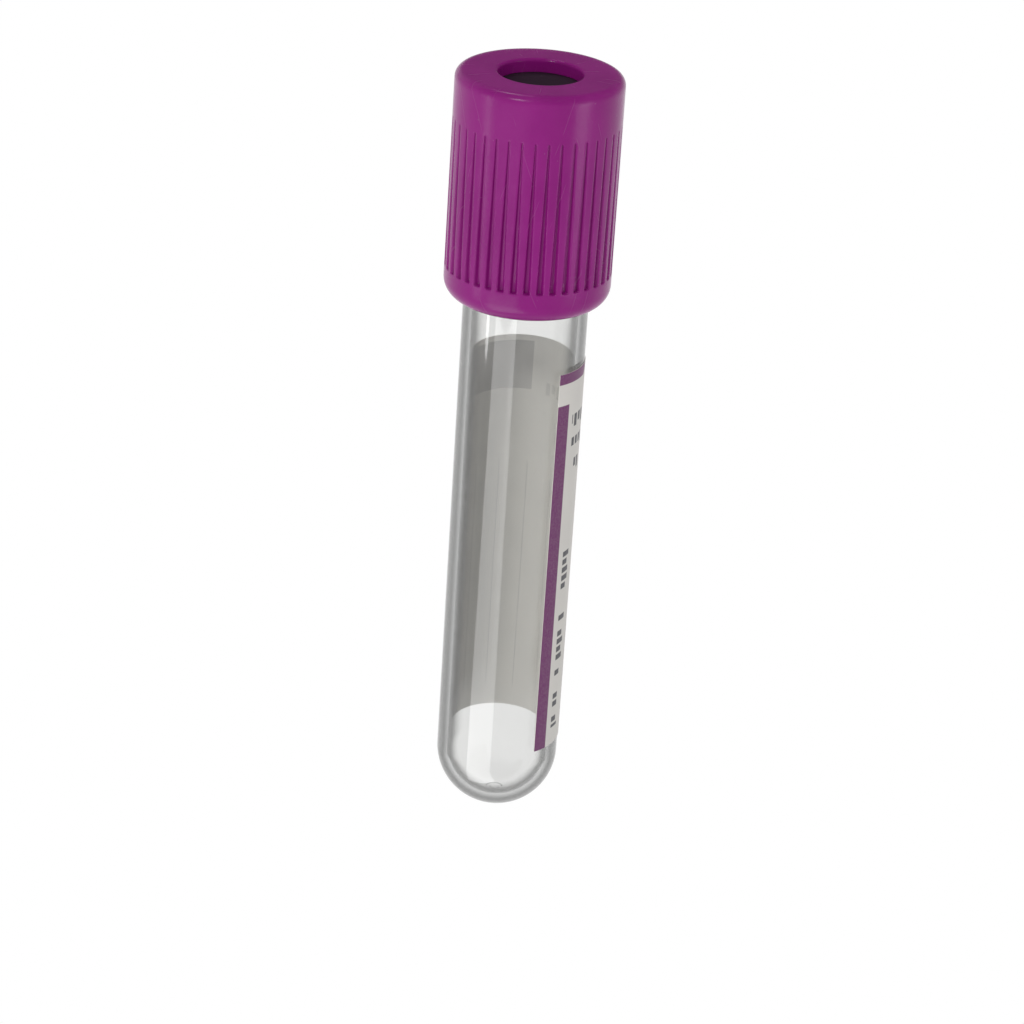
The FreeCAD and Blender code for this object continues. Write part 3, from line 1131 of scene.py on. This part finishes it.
class BLOODTUBE_OT_cap(bpy.types.Operator):
    """Build the ribbed safety cap"""

    bl_idname = "blood_tube.cap"
    bl_label = "Safety Cap"

    def execute(self, context):
        size = context.scene.safety_cap
        around = size.rib_count * RIB_FACES
        piece = new_piece(lathe("safety_cap", cap_outline(size), around))
        values = {
            "Rib Count": size.rib_count,
            "Outside Radius": CAP_RADIUS,
            "Collar End": SKIRT_END - size.collar_height,
            "Band End": CAP_LOW.z + size.band_height,
            "Groove Depth": size.groove_depth,
            "Groove Mouth": size.groove_mouth,
            "Groove Floor": size.groove_floor,
            "Groove Fade": size.groove_fade,
            "Material": purple_plastic(size),
        }
        apply_tree(piece, rib_tree(), values)
        hand_over(piece, "shield", "shield")
        return {"FINISHED"}


class BLOODTUBE_OT_label(bpy.types.Operator):
    """Build the paper label with its print"""

    bl_idname = "blood_tube.label"
    bl_label = "Paper Label"

    def execute(self, context):
        size = context.scene.paper_label
        piece = new_piece(label_mesh(size))
        piece.data.materials.append(label_paper(size))
        hand_over(piece, "tube", "label")
        return {"FINISHED"}


class BLOODTUBE_OT_stage(bpy.types.Operator):
    """Set up the floor, the light and the camera"""

    bl_idname = "blood_tube.stage"
    bl_label = "Floor, Light and Camera"

    def execute(self, context):
        size = context.scene.tube_stage
        context.scene.view_settings.view_transform = "Standard"
        set_world(size)
        add_floor()
        middle = (0.0, 0.0, (CAP_LOW.z + TIP) / 2)
        for name, place, width, height, power, mirrored in LAMPS:
            add_lamp(name, place, middle, width, height, power, mirrored)
        add_camera(size)
        return {"FINISHED"}


class BLOODTUBE_PT_pieces(bpy.types.Panel):
    """Lists the pieces of the tube"""

    bl_idname = "BLOODTUBE_PT_pieces"
    bl_label = "Blood Collection Tube"
    bl_space_type = "VIEW_3D"
    bl_region_type = "UI"
    bl_category = "Blood Tube"

    def draw(self, context):
        for each in OPERATORS:
            self.layout.operator(each.bl_idname)
        for name in SETTINGS:
            box = self.layout.box()
            box.label(text=name.replace("_", " ").capitalize())
            group = getattr(context.scene, name)
            for key in group.bl_rna.properties.keys():
                if key not in {"rna_type", "name"}:
                    box.prop(group, key)


OPERATORS = (
    BLOODTUBE_OT_tube,
    BLOODTUBE_OT_stopper,
    BLOODTUBE_OT_cap,
    BLOODTUBE_OT_label,
    BLOODTUBE_OT_stage,
)
SETTINGS = {
    "clear_tube": TubeSettings,
    "rubber_stopper": StopperSettings,
    "safety_cap": CapSettings,
    "paper_label": LabelSettings,
    "tube_stage": StageSettings,
}
CLASSES = (*SETTINGS.values(), *OPERATORS, BLOODTUBE_PT_pieces)


def register():
    """Register every class and give the scene its settings."""
    for each in CLASSES:
        bpy.utils.register_class(each)
    for name, group in SETTINGS.items():
        setattr(bpy.types.Scene, name, PointerProperty(type=group))


def unregister():
    """Take the settings and the classes away again."""
    for name in SETTINGS:
        delattr(bpy.types.Scene, name)
    for each in reversed(CLASSES):
        bpy.utils.unregister_class(each)


def main():
    """Build every piece and the stage."""
    register()
    bpy.ops.blood_tube.tube()
    bpy.ops.blood_tube.stopper()
    bpy.ops.blood_tube.cap()
    bpy.ops.blood_tube.label()
    bpy.ops.blood_tube.stage()


if __name__ == "__main__":
    main()
